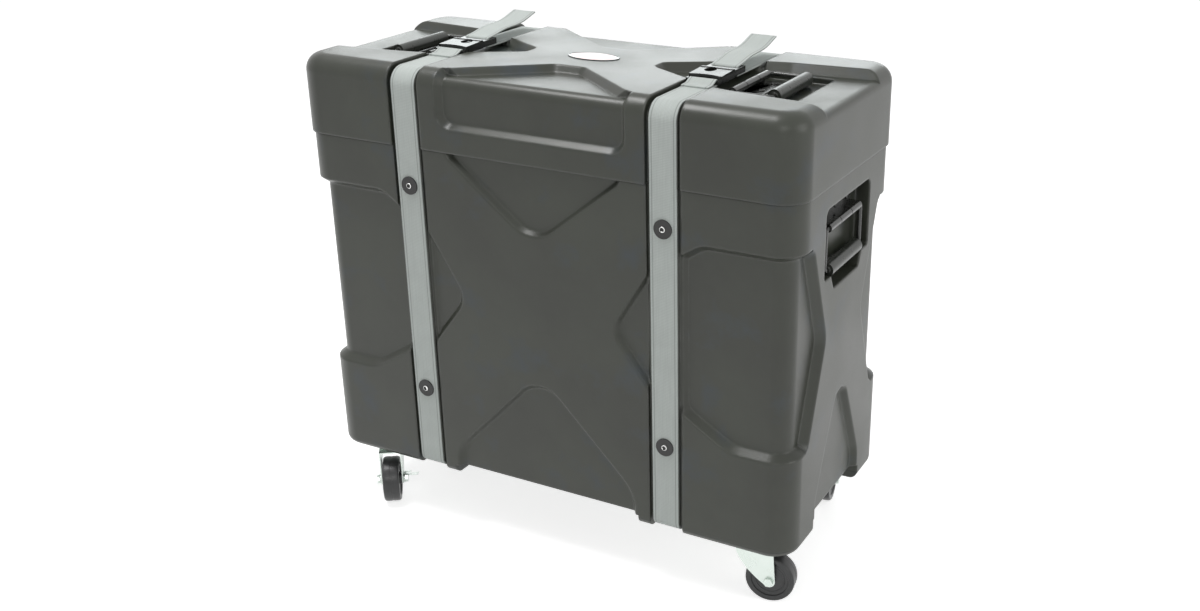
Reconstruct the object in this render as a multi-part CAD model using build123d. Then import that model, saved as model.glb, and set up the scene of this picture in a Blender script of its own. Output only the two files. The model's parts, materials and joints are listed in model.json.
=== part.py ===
from build123d import *
from math import cos, radians, sin, sqrt
import os

# Case, in millimetres: X is the length, Y the depth with the front at -Y, Z up from the floor
case_length = 950.0
case_depth = 426.0
case_top = 864.0
lid_edge = 727.0
foot_bottom = 110.0
wall = 6.0
body_step = 3.0
corner_radius = 48.0
top_edge_radius = 30.0
bottom_edge_radius = 16.0
pocket_turn = 14.0
neck_height = 30.0
neck_clear = 1.5
slope = 38.0
soft_edge = 4.0
wrap_edge = 2.0

# Recesses moulded into the body
middle_depth = 11.0
middle_half = 186.0
arch_sill = 18.0
arch_edge = 5.0
arch_side_top = 58.0
arch_top = 222.0
arch_flat = 24.0
arch_turn = 54.0
arch_foot_turn = 80.0
vee_half = 168.0
vee_depth = 122.0
vee_flat = 22.0
vee_turn = 58.0
side_apex_x = 142.0
side_apex_z = 466.0
side_rise = 124.0
side_fall = 100.0
side_turn = 44.0
wrap_depth = 15.0
wrap_low = 290.0
wrap_high = 643.0
wrap_apex_y = 78.0
wrap_slant = 66.0
wrap_apex_turn = 56.0
wrap_head = (40.0, 25.0)
wrap_head_turns = (46.0, 20.0)
wrap_foot = (90.0, 55.0)
wrap_foot_turns = (80.0, 28.0)
wrap_end_turns = (22.0, 22.0)
end_arch_depth = 11.0
end_arch_half = 100.0
end_arch_knee = 64.0
end_arch_flat = 22.0
end_arch_top = 233.0
end_arch_sill = 30.0
end_arch_turn = 34.0
end_arch_from = 320.0

# Recesses moulded into the lid
panel_half = 180.0
panel_sill = 40.0
panel_depth = 12.0
panel_apex_y = 75.0
panel_apex_half = 28.0
panel_shoulder = 21.0
panel_turn = 28.0
end_depth = 15.0
end_apex_x = 125.0
end_apex_half = 17.0
end_knee_x = 272.0
end_knee_y = 101.0
end_mouth_y = 128.0

# Straps and the channels that they lie in
strap_x = 245.0
strap_width = 48.0
strap_thick = 2.7
strap_clear = 0.3
seat_half = 25.0
groove_width = 6.0
groove_drop = 5.0
seat_front = 208.0
seat_top = 857.0
seat_bottom = 118.0
rivet_high = 659.0
rivet_low = 275.0
rivet_washer = 16.0
rivet_washer_thick = 2.5
rivet_head = 5.0
rivet_shank = 3.0

# End handle pockets in the body
end_pocket_half = 98.0
end_pocket_top = 690.0
end_pocket_bottom = 545.0
end_pocket_step = 26.0
end_pocket_foot = 56.0
end_pocket_depth = 26.0
end_hinge_z = 650.0
end_hinge_in = 9.0

# Handle pockets in the lid
lid_pocket_low = 281.0
lid_pocket_high = 406.0
lid_pocket_half = 92.0
lid_pocket_floor = 838.0
lid_hinge_x = 294.0
lid_hinge_z = 851.0

# Handles
rod_radius = 4.0
grip_radius = 11.5
grip_half = 66.0
arm_length = 71.0
arm_y = 77.0
barrel_radius = 7.0
barrel_half = 67.5
barrel_clear = 0.1
plate_thick = 2.0
plate_reach = 46.0
handle_rivet = 3.0
handle_rivet_head = 5.5
handle_rivet_y = (-50.0, 0.0, 50.0)
lid_rivet_out = 20.0
end_rivet_up = 18.0
barrel_gap_y = 24.0
barrel_gap = 1.6

# Buckles
buckle_half = 29.0
buckle_low = 860.7
buckle_high = 874.7
bar_y = -73.0
bar_radius = 3.0
socket_front = -64.0
socket_rear = -14.0
socket_wall = 4.0
socket_skin = 2.5
window_front = -44.0
window_rear = -22.0
plug_half = 26.0
plug_rear = 26.0
plug_bar = 5.0
prong_inner = 17.0
prong_arm = 4.5
prong_bulge = 27.6
prong_tip = -50.0
prong_ratio = 0.3
tongue_half = 3.0
tail_end_y = 160.0
tail_end_z = 893.0

# Badge seat
badge_long = 98.0
badge_wide = 55.0
badge_sink = 0.8
badge_thick = 2.0

# Casters
king_x = 385.0
king_y = 160.0
trail = 34.0
wheel_radius = 43.0
wheel_width = 31.0
axle_radius = 5.0
axle_clear = 0.05
fork_inner = 18.5
fork_thick = 2.5
fork_front = 25.0
fork_rear = 41.0
fork_eye = 11.0
fork_edge = ((12.4, 46.5), (-4.0, 62.0), (-17.0, 80.0), (-23.0, 92.0))
swivel_radius = 25.0
plate_long = 78.0
plate_wide = 62.0
caster_plate_thick = 2.5
race_height = 4.5
race_gap = 0.3
bolt_radius = 3.5
bolt_dx = 30.0
bolt_dy = 22.0
pedal_reach = 52.0
pedal_thick = 2.0
pedal_tab = 24.0
pedal_slope = 22.0
spur_low = 8.0
spur_reach = 10.0
headings = {"front_right": 10.0, "front_left": -55.0, "rear_right": 100.0, "rear_left": 55.0}
braked = ("front_left", "rear_left")

half_x = case_length / 2
half_y = case_depth / 2
body_x = half_x - body_step
body_y = half_y - body_step
far = 1200.0
groove_outer = seat_half + groove_width
socket_mid = (buckle_low + buckle_high) / 2
plug_low = buckle_low + 1.0
plug_top = buckle_high - 2.5
slot_y = 6.0
slot_half = 3.0
riser_foot = rivet_high + rivet_washer + 8
riser_head = seat_top - top_edge_radius + 3
strap_cut = 0.15
bar_z = seat_top + strap_clear + strap_thick + bar_radius + strap_clear


def block(hx, hy, low, high, radius):
    """Upright block with rounded corners, centred on the case."""
    return Pos(0, 0, low) * extrude(RectangleRounded(2 * hx, 2 * hy, radius), high - low)


def outline_of(points):
    """Face with the points as corners, always facing +Z, whichever way round they are listed."""
    area = sum(a[0] * b[1] - b[0] * a[1] for a, b in zip(points, points[1:] + points[:1]))
    return Polygon(*(points if area > 0 else points[::-1]), align=None)


def on_face(axis, place, points, radii):
    """Rounded outline drawn on the plane where one axis has the given place, seen looking at the case."""
    if axis == "front":
        plane = Plane(origin=(0, -place, 0), x_dir=(-1, 0, 0), z_dir=(0, 1, 0))
        local = [(-a, b) for a, b in points]
    elif axis == "end":
        plane = Plane(origin=(place, 0, 0), x_dir=(0, -1, 0), z_dir=(-1, 0, 0))
        local = [(-a, b) for a, b in points]
    else:
        plane = Plane(origin=(0, 0, place), x_dir=(-1, 0, 0), z_dir=(0, 0, -1))
        local = [(-a, b) for a, b in points]
    outline = outline_of(local)
    for (a, b), radius in zip(local, radii):
        if radius:
            corner = [v for v in outline.vertices() if (v.X - a) ** 2 + (v.Y - b) ** 2 < 1e-6]
            outline = fillet(corner, radius)
    return plane, outline


def sunk(axis, place, points, radii, depth, run_on=0.0, grow=0.0):
    """Tool for a recess with sloped sides, or, grown by the wall, for the inside of the same recess."""
    plane, outline = on_face(axis, place, points, radii)
    shrink = depth * sin(radians(slope)) / cos(radians(slope))
    if grow:
        wide = offset(outline, grow)
        return plane * extrude(wide, depth + grow + run_on) + plane * extrude(wide, -far)
    hollow = extrude(outline, depth, taper=slope)
    if not run_on:
        hollow = fillet(hollow.faces().sort_by(Axis.Z)[-1].edges(), 5)
    tool = plane * hollow + plane * extrude(outline, -2 * depth)
    if run_on:
        tool += plane * Pos(0, 0, depth) * extrude(offset(outline, -shrink), run_on)
    return tool


def mirrored(points):
    """The outline's right half, from top to bottom, with its mirror image."""
    return points + [(-a, b) for a, b in reversed(points)]


def strap_loop(inset, top, bottom, radius_top, radius_bottom, x_low, x_high):
    """Solid inside the closed loop that a strap makes round the case, between two X places."""
    outline = Pos(0, (top + bottom) / 2) * Rectangle(2 * inset, top - bottom)
    highs = outline.vertices().group_by(Axis.Y)[-1]
    outline = fillet(highs, radius_top)
    lows = outline.vertices().group_by(Axis.Y)[0]
    outline = fillet(lows, radius_bottom)
    plane = Plane(origin=(x_low, 0, 0), x_dir=(0, 1, 0), z_dir=(1, 0, 0))
    return plane * extrude(outline, x_high - x_low)


def channel(side, drop, x_low, x_high):
    """Everything outside the strap's seat, sunk by the drop, between two X places on one side."""
    lows = (x_low, x_high) if side > 0 else (-x_high, -x_low)
    outer = Pos((lows[0] + lows[1]) / 2, 0, (case_top + foot_bottom) / 2) * Box(
        lows[1] - lows[0], 2 * far, 2 * far)
    inner = strap_loop(seat_front - drop, seat_top - drop, seat_bottom + drop,
                       top_edge_radius - 3 - drop, bottom_edge_radius, lows[0] - 1, lows[1] + 1)
    return outer - inner


def channels(grow=0.0):
    """Both strap channels: a seat and a deeper groove along each edge of it."""
    tools = []
    for side in (1, -1):
        tools.append(channel(side, grow, strap_x - groove_outer - grow, strap_x + groove_outer + grow))
        for low in (strap_x - groove_outer, strap_x + seat_half):
            tools.append(channel(side, groove_drop + grow, low - grow, low + groove_width + grow))
    return tools


def both_ways(tool):
    """A tool with its mirror images at the other side, the back and both."""
    copies = [tool, tool.mirror(Plane.YZ)]
    return copies + [piece.mirror(Plane.XZ) for piece in copies]


def body_recesses(grow=0.0):
    tools = [wrap_tool(grow)]
    vee = mirrored([(vee_half, lid_edge + 40), (vee_half, lid_edge - 7), (vee_flat, lid_edge - vee_depth)])
    arch = mirrored([(middle_half, foot_bottom - 60), (middle_half, foot_bottom + arch_side_top),
                     (arch_flat, foot_bottom + arch_top)])
    tools.append(sunk("front", body_y, vee, [0, 20, vee_turn, vee_turn, 20, 0], middle_depth, grow=grow))
    arch_turns = [0, arch_foot_turn, arch_turn, arch_turn, arch_foot_turn, 0]
    tools.append(sunk("front", body_y, arch, arch_turns, middle_depth, grow=grow))
    edge = strap_x - seat_half
    side_tool = [(edge, side_apex_z + side_rise), (side_apex_x, side_apex_z), (edge, side_apex_z - side_fall)]
    tools.append(sunk("front", body_y, side_tool, [0, side_turn, 0], middle_depth, grow=grow))
    end_arch = mirrored([(end_arch_half, foot_bottom - 60), (end_arch_half, foot_bottom + end_arch_knee),
                         (end_arch_flat, foot_bottom + end_arch_top)])
    end_turns = [0, arch_foot_turn, end_arch_turn, end_arch_turn, arch_foot_turn, 0]
    tools.append(sunk("end", body_x, end_arch, end_turns, end_arch_depth, grow=grow))
    tools.append(end_pocket(grow))
    return tools


def end_pocket(grow=0.0):
    """Recess in the end face that holds the carrying handle."""
    step = end_pocket_bottom + end_pocket_step
    points = [(-end_pocket_half, end_pocket_top), (-end_pocket_half, step),
              (-end_pocket_foot - end_pocket_step / 2, step), (-end_pocket_foot, end_pocket_bottom)]
    points += [(-a, b) for a, b in reversed(points)]
    plane, outline = on_face("end", body_x, points, [pocket_turn, 6, 4, 8, 8, 4, 6, pocket_turn])
    if grow:
        outline = offset(outline, grow)
    return plane * extrude(outline, end_pocket_depth + grow) + plane * extrude(outline, -far)


def wrap_tool(grow):
    """Recess that wraps one corner of the body, deepest part following the corner's round."""
    start = strap_x + seat_half
    high, low = wrap_high, wrap_low
    flat_x, flat_y = body_x - corner_radius - 2, body_y - corner_radius - 1
    front = [(far, high + 60), (flat_x, high + 60), (flat_x, high), (start + wrap_head[0], high),
             (start, high - wrap_head[1]), (start, low + wrap_foot[1]), (start + wrap_foot[0], low),
             (flat_x, low), (flat_x, low - 60), (far, low - 60)]
    turns = [0, 0, 0, *wrap_head_turns, *reversed(wrap_foot_turns), 0, 0, 0]
    front_tool = sunk("front", body_y, front, turns, wrap_depth, 3 * wrap_depth, grow)
    end = [(-far, high + 60), (-flat_y, high + 60), (-flat_y, high), (-wrap_apex_y - wrap_slant, high),
           (-wrap_apex_y, side_apex_z), (-wrap_apex_y - wrap_slant, low), (-flat_y, low),
           (-flat_y, low - 60), (-far, low - 60)]
    turns = [0, 0, 0, wrap_end_turns[0], wrap_apex_turn, wrap_end_turns[1], 0, 0, 0]
    end_tool = sunk("end", body_x, end, turns, wrap_depth, 3 * wrap_depth, grow)
    deep = wrap_depth + grow
    core = block(body_x - deep, body_y - deep, 0, far, corner_radius - deep)
    fall = wrap_depth * sin(radians(slope)) / cos(radians(slope))
    sleeve = block(far, far, wrap_low - grow, wrap_high + grow, 10) - core
    if not grow:
        rim = RectangleRounded(2 * body_x, 2 * body_y, corner_radius)
        sleeve -= Pos(0, 0, wrap_high) * extrude(rim, -fall, taper=90 - slope)
        sleeve -= Pos(0, 0, wrap_low) * extrude(rim, fall, taper=90 - slope)
    return (front_tool + end_tool) & sleeve


def on_skin(point, hx, hy):
    """True where a point lies on the upright outside of a rounded block."""
    across, along = abs(point.X) - (hx - corner_radius), abs(point.Y) - (hy - corner_radius)
    if across > 0 and along > 0:
        return abs(sqrt(across ** 2 + along ** 2) - corner_radius) < 0.05
    return abs(max(across, along) - corner_radius) < 0.05


def upright(edge):
    """True for an edge that runs straight up."""
    start, end = edge @ 0, edge @ 1
    return abs(start.X - end.X) < 0.01 and abs(start.Y - end.Y) < 0.01


def is_middle_mouth(point):
    return abs(point.X) < strap_x - groove_outer - 1 and abs(point.Y) > body_y - 1


def is_end_mouth(point):
    top = foot_bottom + end_arch_top + 1
    return abs(point.X) > body_x - 1 and abs(point.Y) <= end_arch_half + 1 and point.Z < top


def base_shell():
    shell = block(body_x, body_y, foot_bottom, lid_edge, corner_radius)
    shell = fillet(shell.edges().group_by(Axis.Z)[0], bottom_edge_radius)
    inside = block(body_x - wall, body_y - wall, foot_bottom + wall, lid_edge - wall, corner_radius - wall)
    wrap, *others = body_recesses()
    for copy in both_ways(wrap):
        shell -= copy
    rims = [e for e in shell.edges() if all(on_skin(e @ at, body_x, body_y) for at in (0, 0.5, 1))
            and wrap_low - 1 < e.center().Z < wrap_high + 1 and not upright(e)]
    shell = fillet(rims, wrap_edge)
    for tool in others:
        for copy in both_ways(tool):
            shell -= copy
    for tool in body_recesses(wall):
        for copy in both_ways(tool):
            inside -= copy
    for tool in channels():
        shell -= tool
    for tool in channels(wall):
        inside -= tool
    mouths = [e for e in shell.edges() if on_skin(e @ 0, body_x, body_y) and on_skin(e @ 1, body_x, body_y)
              and foot_bottom + bottom_edge_radius < e.center().Z < lid_edge - 1
              and (is_middle_mouth(e.center()) or is_end_mouth(e.center()))]
    shell = fillet(mouths, soft_edge)
    arch = 2 * (foot_bottom + arch_sill)
    shell -= Box(2 * (middle_half + arch_edge), 2 * far, arch)
    inside -= Box(2 * (middle_half + arch_edge + wall), 2 * far, arch + 2 * wall)
    sill = foot_bottom + end_arch_sill
    for side in (1, -1):
        middle = side * (far + end_arch_from) / 2
        length = far - end_arch_from
        shell -= Pos(middle, 0, 0) * Box(length, 2 * (end_arch_half + arch_edge), 2 * sill)
        inside -= Pos(middle, 0, 0) * Box(length + 2 * wall, 2 * (end_arch_half + arch_edge + wall),
                                          2 * (sill + wall))
    neck_x = half_x - wall - neck_clear
    neck_y = seat_front - groove_drop - wall - neck_clear
    neck_radius = corner_radius - wall - neck_clear
    shell += block(neck_x, neck_y, lid_edge - wall, lid_edge + neck_height, neck_radius)
    inside += block(neck_x - wall, neck_y - wall, lid_edge - wall - 10, lid_edge + neck_height + 1,
                    neck_radius - wall)
    shell -= inside
    for x, y in rivet_places():
        for z in (rivet_low, rivet_high):
            shell -= Pos(x, y, z) * Rot(90, 0, 0) * Cylinder(rivet_shank + 0.05, 60)
    for name in headings:
        king = king_place(name)
        for dx in (bolt_dx, -bolt_dx):
            for dy in (bolt_dy, -bolt_dy):
                shell -= Pos(king[0] + dx, king[1] + dy, foot_bottom) * Cylinder(bolt_radius + 0.05, 60)
    for side in (1, -1):
        for y, z in end_rivet_places():
            shell -= Pos(side * (body_x - end_pocket_depth), y, z) * Rot(0, 90, 0) * Cylinder(
                handle_rivet + 0.05, 30)
    return shell


def rivet_places():
    """Centres of the strap rivets, in plan: X of the strap and Y of the seat, front and rear."""
    return [(sx * strap_x, sy * seat_front) for sx in (1, -1) for sy in (1, -1)]


def end_rivet_places():
    return [(y, end_hinge_z + end_rivet_up) for y in handle_rivet_y]


def lid_rivet_places():
    return [(lid_hinge_x + lid_rivet_out, y) for y in handle_rivet_y]


def king_place(name):
    return (king_x if "right" in name else -king_x, king_y if "rear" in name else -king_y)


def lid_panel(grow=0.0):
    """Front panel of the lid, which runs up over the edge and narrows to a flat tip on the top."""
    sill = lid_edge + panel_sill
    front = mirrored([(panel_half, case_top + 60), (panel_half, sill)])
    front_tool = sunk("front", half_y, front, [0, panel_turn, panel_turn, 0], panel_depth, 20.0, grow)
    shoulder = -half_y + panel_shoulder
    top = mirrored([(panel_half, -far), (panel_half, shoulder), (panel_apex_half, -panel_apex_y)])
    turns = [0, panel_turn, panel_turn, panel_turn, panel_turn, 0]
    top_tool = sunk("top", case_top, top, turns, panel_depth, 20.0, grow)
    whole = front_tool + top_tool
    if not grow:
        for degree in (22.5, 45, 67.5):
            whole += edge_cut(degree)
    deep = panel_depth + grow
    core = lid_core(deep, case_top - deep, top_edge_radius - panel_depth)
    return whole - core


def edge_cut(degree):
    """Part of the panel's recess where the lid's front turns into its top, at an angle from the front."""
    outward, upward = cos(radians(degree)), sin(radians(degree))
    y = -(half_y - top_edge_radius) - top_edge_radius * outward
    z = case_top - top_edge_radius + top_edge_radius * upward
    reach = 0.3 * top_edge_radius
    slant = sin(radians(slope)) / cos(radians(slope))
    outline = [(panel_half + slant * reach, -reach), (panel_half - slant * panel_depth, panel_depth),
               (panel_half - slant * panel_depth, 2 * panel_depth)]
    outline = outline_of(outline + [(-a, b) for a, b in reversed(outline)])
    plane = Plane(origin=(0, y - reach * upward, z - reach * outward), x_dir=(1, 0, 0),
                  z_dir=(0, upward, outward))
    return plane * extrude(outline, 2 * reach)


def lid_core(inset, top, radius):
    core = block(half_x - inset, half_y - inset, 0, top, corner_radius - inset)
    return fillet(core.edges().group_by(Axis.Z)[-1], radius)


def lid_end(grow=0.0):
    """Recess in the lid's top that opens over the end edge."""
    points = [(end_apex_x, end_apex_half), (end_knee_x, end_knee_y), (end_knee_x + 48, end_mouth_y - 16),
              (half_x, end_mouth_y), (far, end_mouth_y)]
    points = points + [(a, -b) for a, b in reversed(points)]
    top_tool = sunk("top", case_top, points, [14, 0, 30, 0, 0, 0, 0, 30, 0, 14], end_depth, 15.0, grow)
    floor = case_top - end_depth - grow
    core = block(half_x + 2, half_y, 0, floor, corner_radius)
    core = fillet(core.edges().group_by(Axis.Z)[-1], 14 + 2)
    return top_tool - core


def lid_pocket(grow=0.0):
    centre = (lid_pocket_low + lid_pocket_high) / 2
    width = lid_pocket_high - lid_pocket_low
    outline = RectangleRounded(width + 2 * grow, 2 * (lid_pocket_half + grow), 12 + grow)
    return Pos(centre, 0, lid_pocket_floor - grow) * extrude(outline, far)


def lid_shell():
    shell = block(half_x, half_y, lid_edge, case_top, corner_radius)
    shell = fillet(shell.edges().group_by(Axis.Z)[-1], top_edge_radius)
    inside = block(half_x - wall, half_y - wall, lid_edge - 1, case_top - wall, corner_radius - wall)
    inside = fillet(inside.edges().group_by(Axis.Z)[-1], top_edge_radius - wall)
    panel = lid_panel()
    for copy in (panel, panel.mirror(Plane.XZ)):
        shell -= copy
    panel = lid_panel(wall)
    for copy in (panel, panel.mirror(Plane.XZ)):
        inside -= copy
    for side_tool in (lid_end(), lid_pocket()):
        for copy in (side_tool, side_tool.mirror(Plane.YZ)):
            shell -= copy
    for side_tool in (lid_end(wall), lid_pocket(wall)):
        for copy in (side_tool, side_tool.mirror(Plane.YZ)):
            inside -= copy
    for tool in channels():
        shell -= tool
    for tool in channels(wall):
        inside -= tool
    shell -= inside
    shell -= Pos(0, 0, case_top) * extrude(Ellipse(badge_long / 2, badge_wide / 2), -badge_sink)
    for side in (1, -1):
        for x, y in lid_rivet_places():
            shell -= Pos(side * x, y, lid_pocket_floor) * Cylinder(handle_rivet + 0.05, 40)
    return shell


def badge():
    plate = extrude(Ellipse(badge_long / 2 - 0.3, badge_wide / 2 - 0.3), badge_thick)
    plate = fillet(plate.edges().group_by(Axis.Z)[-1], 0.8)
    return Pos(0, 0, case_top - badge_sink) * plate


def strap_ring(side):
    """Closed ring of webbing on one side of the case."""
    x = side * strap_x - strap_width / 2
    inner = strap_loop(seat_front + strap_clear, seat_top + strap_clear, seat_bottom - strap_clear,
                       top_edge_radius - 3 + strap_clear, bottom_edge_radius + strap_clear,
                       x - 1, x + strap_width + 1)
    lift = strap_clear + strap_thick
    outer = strap_loop(seat_front + lift, seat_top + lift, seat_bottom - lift,
                       top_edge_radius - 3 + lift, bottom_edge_radius + lift, x, x + strap_width)
    return outer - inner


def between(y_low, y_high, z_low, z_high):
    return Pos(0, (y_low + y_high) / 2, (z_low + z_high) / 2) * Box(2 * far, y_high - y_low, z_high - z_low)


def strap_lower(side):
    run = strap_ring(side) & between(-far, far, 0, riser_foot - strap_cut)
    for y in (-seat_front, seat_front):
        for z in (rivet_low, rivet_high):
            run -= Pos(side * strap_x, y, z) * Rot(90, 0, 0) * Cylinder(rivet_shank + 0.1, 40)
    return run


def strap_riser(side, end):
    low, high = (-far, 0) if end == "front" else (0, far)
    return strap_ring(side) & between(low, high, riser_foot + strap_cut, riser_head - strap_cut)


def strap_front_top(side):
    """Run over the lid's front edge, sewn in a loop round the socket's bar."""
    run = strap_ring(side) & between(-far, bar_y, riser_head + strap_cut, far)
    outer = bar_radius + strap_clear + strap_thick
    loop = Cylinder(outer, strap_width) - Cylinder(bar_radius + strap_clear, strap_width)
    loop = Pos(side * strap_x, bar_y, bar_z) * Rot(0, 90, 0) * loop
    return run + loop


def strap_rear_top(side):
    return strap_ring(side) & between(0, far, riser_head + strap_cut, far)


def strip(points, radius, side):
    """Webbing that follows points in Y and Z."""
    path = FilletPolyline(*points, radius=radius)
    plane = Plane(origin=(side * strap_x - strap_width / 2, 0, 0), x_dir=(0, 1, 0), z_dir=(1, 0, 0))
    return plane * extrude(trace(path, strap_thick), strap_width)


def strap_tail(side):
    """Free end, up through the plug's slot, over its bars and away to the rear."""
    start = seat_top + 2 * strap_clear + strap_thick + 0.3
    over = plug_top + strap_clear + strap_thick / 2
    points = [(slot_y, start), (slot_y, over), (plug_rear + 6, over + 1.5),
              (tail_end_y * 0.55, over + 6), (tail_end_y, tail_end_z)]
    return strip(points, 3, side)


def at_strap(side, piece):
    return Pos(side * strap_x, 0, 0) * piece


def slab(x_low, x_high, y_low, y_high, z_low, z_high):
    return Pos((x_low + x_high) / 2, (y_low + y_high) / 2, (z_low + z_high) / 2) * Box(
        x_high - x_low, y_high - y_low, z_high - z_low)


def buckle_socket(side):
    """Female half: a flat box open to the rear, side windows, and a bar for the webbing in front."""
    length = socket_rear - socket_front
    box = Pos(0, (socket_rear + socket_front) / 2, buckle_low) * extrude(
        RectangleRounded(2 * buckle_half, length, 6), buckle_high - buckle_low)
    box = fillet(box.edges().group_by(Axis.Z)[-1], 1.5)
    inner = buckle_half - socket_wall
    cavity = slab(-inner, inner, socket_front + 8, socket_rear + 1, buckle_low + socket_skin,
                  buckle_high - socket_skin)
    windows = slab(-far, far, window_front, window_rear, buckle_low + socket_skin,
                   buckle_high - socket_skin)
    arms = []
    for way in (1, -1):
        low, high = sorted((way * (strap_width / 2 + 0.8), way * buckle_half))
        arms.append(slab(low, high, bar_y - bar_radius, socket_front + 3, buckle_low, buckle_low + 6.5))
    bar = Pos(0, bar_y, bar_z) * Rot(0, 90, 0) * Cylinder(bar_radius, 2 * buckle_half)
    piece = box - cavity - windows
    for arm in arms:
        piece += arm
    return at_strap(side, piece + bar)


def buckle_plug(side):
    """Male half: nose, guide tongue and a ladder of bars that hold the webbing."""
    nose = slab(-plug_half, plug_half, socket_rear + 0.5, slot_y - slot_half, plug_low, plug_top)
    rails = []
    for way in (1, -1):
        low, high = sorted((way * (strap_width / 2 + 0.5), way * (plug_half + 2)))
        rails.append(slab(low, high, socket_rear + 0.5, plug_rear, plug_low, plug_top))
    bars = []
    for y in (slot_y + slot_half, plug_rear - plug_bar):
        bars.append(slab(-plug_half, plug_half, y, y + plug_bar, plug_low, plug_top))
    tongue = slab(-tongue_half, tongue_half, prong_tip, socket_rear + 1, socket_mid - 3, socket_mid + 3)
    piece = nose + tongue
    for part in rails + bars:
        piece += part
    return at_strap(side, piece)


def buckle_prong(side, way):
    """One spring arm of the plug, with the pad that shows in the socket's window."""
    base = socket_rear + 0.2
    inner = prong_inner
    catch = buckle_half - socket_wall - 0.3
    peak = window_rear - (prong_bulge - catch) / prong_ratio
    outline = outline_of([(inner, base), (inner + prong_arm, base), (inner + prong_arm + 1, window_rear + 5),
                          (catch, window_rear), (prong_bulge, peak), (catch - 0.4, window_front + 1),
                          (inner + 2, prong_tip), (inner, prong_tip)])
    arm = extrude(outline, 7)
    arm = Pos(0, 0, socket_mid - 3.5) * arm
    if way < 0:
        arm = arm.mirror(Plane.YZ)
    return at_strap(side, arm)


def strap_rivets():
    pieces = []
    face = seat_front + strap_clear + strap_thick + rivet_washer_thick
    back = seat_front - wall - 1.5
    for x, y in rivet_places():
        out = 1 if y > 0 else -1
        for z in (rivet_low, rivet_high):
            shank = Pos(x, out * (face + back) / 2, z) * Rot(90, 0, 0) * Cylinder(rivet_shank, face - back)
            head = Pos(x, out * (face + 0.9), z) * Rot(90, 0, 0) * Cylinder(rivet_head, 1.8)
            head = fillet(head.edges().group_by(Axis.Y)[-1 if out > 0 else 0], 1.2)
            tail = Pos(x, out * (back - 0.75), z) * Rot(90, 0, 0) * Cylinder(rivet_head, 1.5)
            pieces.append(shank + head + tail)
    return pieces


def strap_washers():
    pieces = []
    face = seat_front + strap_clear + strap_thick
    for x, y in rivet_places():
        out = 1 if y > 0 else -1
        for z in (rivet_low, rivet_high):
            disc = Cylinder(rivet_washer, rivet_washer_thick) - Cylinder(rivet_shank + 0.05, 10)
            pieces.append(Pos(x, out * (face + rivet_washer_thick / 2), z) * Rot(90, 0, 0) * disc)
            backing = Cylinder(9, 1.5) - Cylinder(rivet_shank + 0.05, 10)
            pieces.append(Pos(x, out * (seat_front - wall - 0.75), z) * Rot(90, 0, 0) * backing)
    return pieces


def handle_plane(place, side):
    """Plane of a folded handle: local X runs from hinge to grip, local Y along the hinge."""
    if place == "lid":
        return Plane(origin=(side * lid_hinge_x, 0, lid_hinge_z), x_dir=(side, 0, 0), z_dir=(0, 0, 1))
    return Plane(origin=(side * (body_x - end_hinge_in), 0, end_hinge_z), x_dir=(0, 0, -1),
                 z_dir=(side, 0, 0))


def handle_depth(place):
    """Distance from the hinge axis down to the floor of the pocket."""
    if place == "lid":
        return lid_hinge_z - lid_pocket_floor
    return end_pocket_depth - end_hinge_in


def handle_bail(place, side):
    turn = 2.2 * rod_radius
    end = barrel_half - 24
    points = [(0, -end, 0), (0, -arm_y, 0), (arm_length, -arm_y, 0), (arm_length, arm_y, 0), (0, arm_y, 0),
              (0, end, 0)]
    path = FilletPolyline(*points, radius=turn)
    rod = sweep(Plane(origin=points[0], z_dir=(0, -1, 0)) * Circle(rod_radius), path=path)
    return handle_plane(place, side) * rod


def handle_grip(place, side):
    grip = Cylinder(grip_radius, 2 * grip_half)
    grip = fillet(grip.edges(), 2)
    grip -= Cylinder(rod_radius + 0.05, 4 * grip_half)
    return handle_plane(place, side) * Pos(arm_length, 0, 0) * Rot(90, 0, 0) * grip


def handle_plate(place, side):
    """Steel plate on the pocket's floor, its edge turned up and rolled round the bail's ends."""
    depth = handle_depth(place)
    low, high = (-30, 6) if place == "end" else (-6, plate_reach - 14)
    plate = slab(low, high, -barrel_half, barrel_half, -depth, -depth + plate_thick)
    web = slab(-barrel_radius, -barrel_radius + plate_thick, -barrel_half, barrel_half, -depth, 0)
    barrel = Rot(90, 0, 0) * Cylinder(barrel_radius, 2 * barrel_half)
    piece = plate + web + barrel
    piece -= Rot(90, 0, 0) * Cylinder(rod_radius + barrel_clear, 4 * barrel_half)
    for y in (-barrel_gap_y, barrel_gap_y):
        ring = Cylinder(barrel_radius + 5, barrel_gap) - Cylinder(barrel_radius - 1, barrel_gap)
        piece -= Pos(0, y, 0) * Rot(90, 0, 0) * ring
    along = lid_rivet_out if place == "lid" else -end_rivet_up
    for y in handle_rivet_y:
        piece -= Pos(along, y, -depth) * Cylinder(handle_rivet + 0.05, 10)
    return handle_plane(place, side) * piece


def handle_rivets(place):
    """Rivets through the plate and the moulding, with a head on each side."""
    pieces = []
    depth = handle_depth(place)
    for side in (1, -1):
        for y in handle_rivet_y:
            along = lid_rivet_out if place == "lid" else -end_rivet_up
            low, high = -depth - wall, -depth + plate_thick
            shank = Pos(along, y, (low + high) / 2) * Cylinder(handle_rivet, high - low)
            head = Pos(along, y, high + 1) * Cylinder(handle_rivet_head, 2)
            head = fillet(head.edges().group_by(Axis.Z)[-1], 1.2)
            tail = Pos(along, y, low - 0.75) * Cylinder(handle_rivet_head, 1.5)
            pieces.append(handle_plane(place, side) * (shank + head + tail))
    return pieces


def caster_frame(name):
    """Frame of a caster: origin under the king pin on the floor, local X towards the wheel."""
    x, y = king_place(name)
    return Pos(x, y, 0) * Rot(0, 0, headings[name])


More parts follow.
